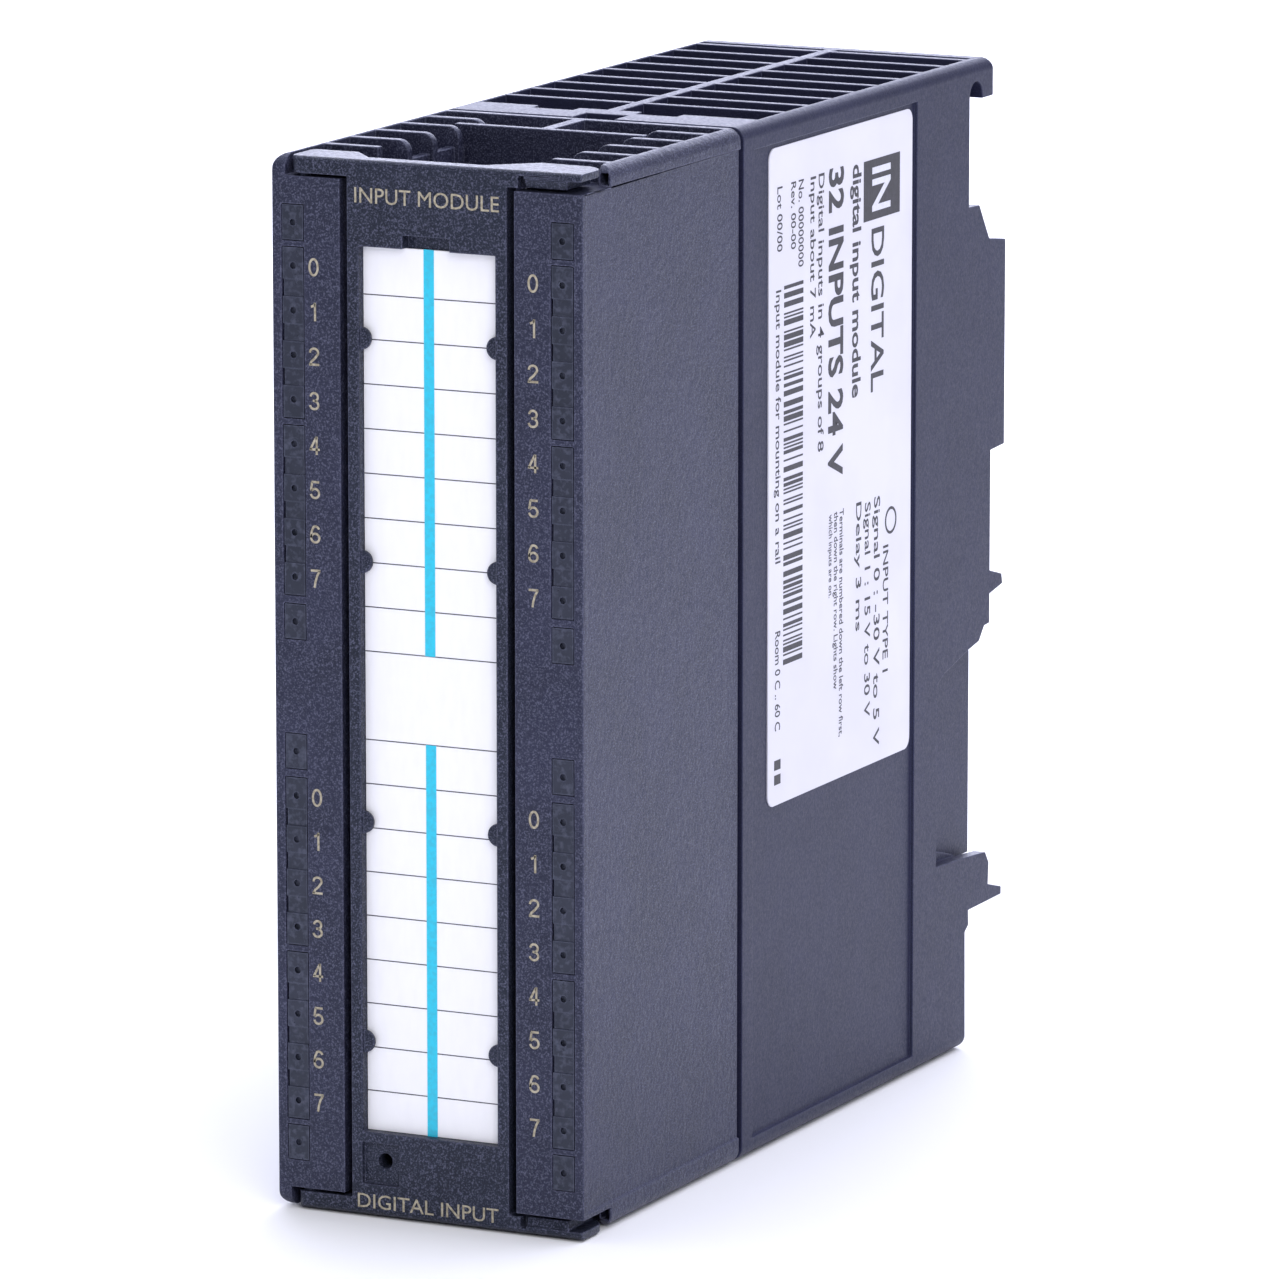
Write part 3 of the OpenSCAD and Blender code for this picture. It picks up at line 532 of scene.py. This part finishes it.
# --- The boards and what is soldered on them --------------------------------------------------------
# Three glass-epoxy boards under green solder mask, with tracks that show through it, and black
# moulded chips, blue resistors, tan ceramic capacitors and tinned metal parts. The contact block,
# its brass insert, the coding key and the screw with its washer get their finishes here too.
def speckled(name, dark, light, size, roughness, metal=0.0, depth=0.00001):
    """Two near shades of one finish, in lumps of the given size, with a slight grain."""
    paint, shader = material(name)
    join(paint, shades(paint, noise(paint, size, 3), [(0.35, dark), (0.65, light)]),
         shader.inputs["Base Color"])
    shader.inputs["Roughness"].default_value = roughness
    shader.inputs["Metallic"].default_value = metal
    relief(paint, shader, noise(paint, size, 2), depth, 0.6)
    return paint


board_paint, board_shader = material("solder_mask")
board_place = node(board_paint, "TexCoord", {}).outputs["Object"]
upright = (math.radians(90), 0, math.radians(90))
board_turned = node(board_paint, "Mapping", {"Vector": board_place, "Rotation": upright})
tracks = node(board_paint, "TexBrick", {
    "Vector": board_turned.outputs["Vector"], "Scale": 130.0, "Mortar Size": 0.03,
    "Color1": (0.012, 0.085, 0.035, 1), "Color2": (0.014, 0.10, 0.04, 1),
    "Mortar": (0.05, 0.20, 0.07, 1)}).outputs["Color"]
join(board_paint, tracks, board_shader.inputs["Base Color"])
board_shader.inputs["Roughness"].default_value = 0.28
relief(board_paint, board_shader, noise(board_paint, 0.0004), 0.00001)
# name, dark shade, light shade, lump size, roughness, metallic, depth of the grain; what it is on
finishes = [
    (("light_resin", (0.25, 0.42, 0.20), (0.35, 0.52, 0.28), 0.0006, 0.25),
     ("left_lights", "right_lights")),
    (("chip_resin", (0.012, 0.012, 0.014), (0.024, 0.024, 0.026), 0.0003, 0.6),
     ("left_optocouplers", "right_optocouplers", "bus_chip")),
    (("resistor_lacquer", (0.10, 0.22, 0.34), (0.14, 0.28, 0.42), 0.0006, 0.4),
     ("left_resistors", "right_resistors")),
    (("capacitor_clay", (0.42, 0.29, 0.17), (0.55, 0.40, 0.26), 0.0004, 0.5),
     ("left_capacitors", "right_capacitors")),
    (("capacitor_sleeve", (0.03, 0.05, 0.11), (0.05, 0.08, 0.16), 0.002, 0.35),
     ("supply_capacitor",)),
    (("drawn_steel", (0.50, 0.50, 0.51), (0.62, 0.62, 0.63), 0.0004, 0.28, 1.0), ("crystal",)),
    (("socket_plastic", (0.014, 0.014, 0.016), (0.024, 0.024, 0.027), 0.0006, 0.45),
     ("bus_socket",)),
    (("tinned_brass", (0.60, 0.50, 0.30), (0.72, 0.62, 0.40), 0.0008, 0.26, 1.0, 0.000004),
     ("left_contacts", "right_contacts", "bus_contacts")),
    (("block_plastic", (0.018, 0.018, 0.022), (0.030, 0.030, 0.036), 0.0004, 0.5),
     ("contact_block",)),
    (("key_plastic", (0.015, 0.015, 0.016), (0.025, 0.025, 0.027), 0.0004, 0.45), ("coding_key",)),
    (("insert_brass", (0.55, 0.38, 0.14), (0.70, 0.50, 0.20), 0.0005, 0.3, 1.0),
     ("connector_insert",)),
    (("washer_plastic", (0.02, 0.02, 0.022), (0.035, 0.035, 0.038), 0.0004, 0.5),
     ("captive_washer",)),
    (("zinc_plate", (0.52, 0.53, 0.56), (0.66, 0.67, 0.70), 0.0004, 0.3, 1.0), ("fixing_screw",)),
]
for name in ("left_board", "right_board", "bus_board"):
    coat(name, board_paint)
for finish, names in finishes:
    paint = speckled(*finish)
    for name in names:
        coat(name, paint)

# --- The chips' legs and the solder ------------------------------------------------------------------
# Each optocoupler stands on sixteen gull-wing legs of tinned copper, and each terminal's arm is
# soldered to its board in a small cone.
board_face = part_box("left_board")[1].x
legs_low, legs_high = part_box("left_optocouplers")
LEG_PATH = np.array([(0.0, 0.0011), (0.0004, 0.0011), (0.0007, 0.0002), (0.0013, 0.0001)])
LEG_WIDTH, LEG_THICK, LEG_PITCH, LEG_CLEAR = 0.0004, 0.00012, 0.00127, 0.00002


def surface(name, points, faces, paint, body):
    """A mesh object from arrays of points and faces, which rides on a body."""
    mesh = bpy.data.meshes.new(name)
    mesh.from_pydata(points.tolist(), [], [tuple(f) for f in faces.tolist()])
    mesh.materials.append(paint)
    for face in mesh.polygons:
        face.use_smooth = True
    mesh.set_sharp_from_angle(angle=math.radians(40))
    piece = bpy.data.objects.new(name, mesh)
    bpy.context.scene.collection.objects.link(piece)
    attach(piece, body)
    return piece


def grid_faces(rows, columns):
    """Quads between the rows of a grid of points, whose last column joins the first."""
    r, c = np.meshgrid(np.arange(rows - 1), np.arange(columns), indexing="ij")
    d = (c + 1) % columns
    return np.stack([r * columns + c, r * columns + d,
                     (r + 1) * columns + d, (r + 1) * columns + c], -1).reshape(-1, 4)


def leg():
    """A flat strip carried along the gull-wing path: (distance out, height, sideways) points."""
    rise = np.gradient(LEG_PATH, axis=0)
    rise /= np.linalg.norm(rise, axis=1)[:, None]
    normal = np.stack([-rise[:, 1], rise[:, 0]], 1) * LEG_THICK / 2
    corners = [np.column_stack([LEG_PATH + s * normal, np.full(len(LEG_PATH), w * LEG_WIDTH / 2)])
               for s, w in ((-1, -1), (1, -1), (1, 1), (-1, 1))]
    points = np.stack(corners, 1).reshape(-1, 3)
    last = 4 * (len(LEG_PATH) - 1)
    return points, np.vstack([grid_faces(len(LEG_PATH), 4), [(3, 2, 1, 0)],
                              [(last, last + 1, last + 2, last + 3)]])


def outwards(piece):
    """Turns every face of a closed mesh outwards."""
    solid = bmesh.new()
    solid.from_mesh(piece.data)
    bmesh.ops.recalc_face_normals(solid, faces=solid.faces)
    solid.to_mesh(piece.data)
    solid.free()


tin = speckled("tinned_copper", (0.55, 0.55, 0.56), (0.70, 0.70, 0.72), 0.0005, 0.3, 1.0, 0.000004)
leg_points, leg_faces = leg()
group_z = [sign * (FIRST_LIGHT + LIGHT_PITCH * (4 * g + 1.5)) for sign in (1, -1) for g in (0, 1)]
feet = [(y, way, MID_Z + z + (k - 3.5) * LEG_PITCH)
        for y, way in ((legs_low.y, -1), (legs_high.y, 1)) for z in group_z for k in range(8)]
for side, sign in (("left", -1), ("right", 1)):
    spots = np.array(feet)
    x = sign * (abs(board_face) - leg_points[None, :, 1] - LEG_CLEAR)
    y = spots[:, :1] + spots[:, 1:2] * leg_points[None, :, 0]
    z = spots[:, 2:] + leg_points[None, :, 2]
    points = np.stack([np.broadcast_to(x, y.shape), y, z], -1).reshape(-1, 3)
    faces = (leg_faces[None] + len(leg_points) * np.arange(len(spots))[:, None, None]).reshape(-1, 4)
    outwards(surface(side + "_optocoupler_legs", points, faces, tin, "housing"))

# A cone is a circle carried up its height while its radius falls with the square of what is left.
CONE_FOOT, CONE_NECK, CONE_HIGH = 0.0012, 0.00075, 0.0007
CONE_RINGS, CONE_SIDES, TERMINALS = 6, 14, 20
arm_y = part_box("left_contacts")[1].y - 0.0004
turn = np.linspace(0, 2 * np.pi, CONE_SIDES, endpoint=False)
rise = np.linspace(0, 1, CONE_RINGS)[:, None]
radius = CONE_NECK + (CONE_FOOT - CONE_NECK) * (1 - rise) ** 2
for side, sign in (("left", -1), ("right", 1)):
    height = sign * (abs(board_face) - rise * CONE_HIGH)
    cone = np.stack([np.broadcast_to(height, (CONE_RINGS, CONE_SIDES)),
                     radius * 0.8 * np.cos(turn), radius * np.sin(turn)], -1).reshape(-1, 3)
    spots = np.array([(0, arm_y, MID_Z + (k - 9.5) * ROW) for k in range(TERMINALS)])
    points = (cone[None] + spots[:, None]).reshape(-1, 3)
    quads = (grid_faces(CONE_RINGS, CONE_SIDES)[None]
             + len(cone) * np.arange(TERMINALS)[:, None, None]).reshape(-1, 4)
    outwards(surface(side + "_solder_cones", points, quads, tin, "housing"))

# --- The table inside the door -----------------------------------------------------------------------
# A wiring table in the same sand-coloured ink on the inner face of the door: a number for each of
# the forty terminals, with a short lead and a ring where a switch joins.
DOOR_THICK = 0.0026
TABLE_Y = FACE_Y + DOOR_THICK
TABLE_FOOT, TABLE_TOP = 0.0115, 0.1185
TABLE_NUMBER, RING_X, RAIL_X, LEAD_END_X, NUMBER_X = 0.0015, 0.0050, 0.0022, 0.0044, 0.0078
HALF_LINE = 0.00007
table_parts = []
for row in range(TERMINALS):
    z = MID_Z + (9.5 - row) * ROW
    if z > TABLE_TOP or z < TABLE_FOOT:
        continue
    for number, way in ((row + 1, -1), (row + 21, 1)):
        digits_wide = 0.0008 * len(str(number))
        table_parts.append((lettering(str(number), TABLE_NUMBER, digits_wide, 0.004),
                            (way * NUMBER_X, z - TABLE_NUMBER / 2)))
        if row % 10 not in (0, 9):
            lead = sorted((way * RAIL_X, way * LEAD_END_X))
            table_parts.append((ring(0.00045, 0.0006, 20), (way * RING_X, z)))
            table_parts.append((bars([(*lead, z - HALF_LINE, z + HALF_LINE)]), (0, 0)))
rails = [(way * RAIL_X - HALF_LINE, way * RAIL_X + HALF_LINE,
          MID_Z + low_row * ROW, MID_Z + high_row * ROW)
         for way in (-1, 1) for low_row, high_row in ((1.5, 8.5), (-8.5, -1.5))]
table_parts.append((bars(rails), (0, 0)))
printed("door_table", table_parts, (0, TABLE_Y + PRINT_DEPTH / 2, 0), (-1, 0, 0), (0, 0, 1),
        sand_ink, "door")
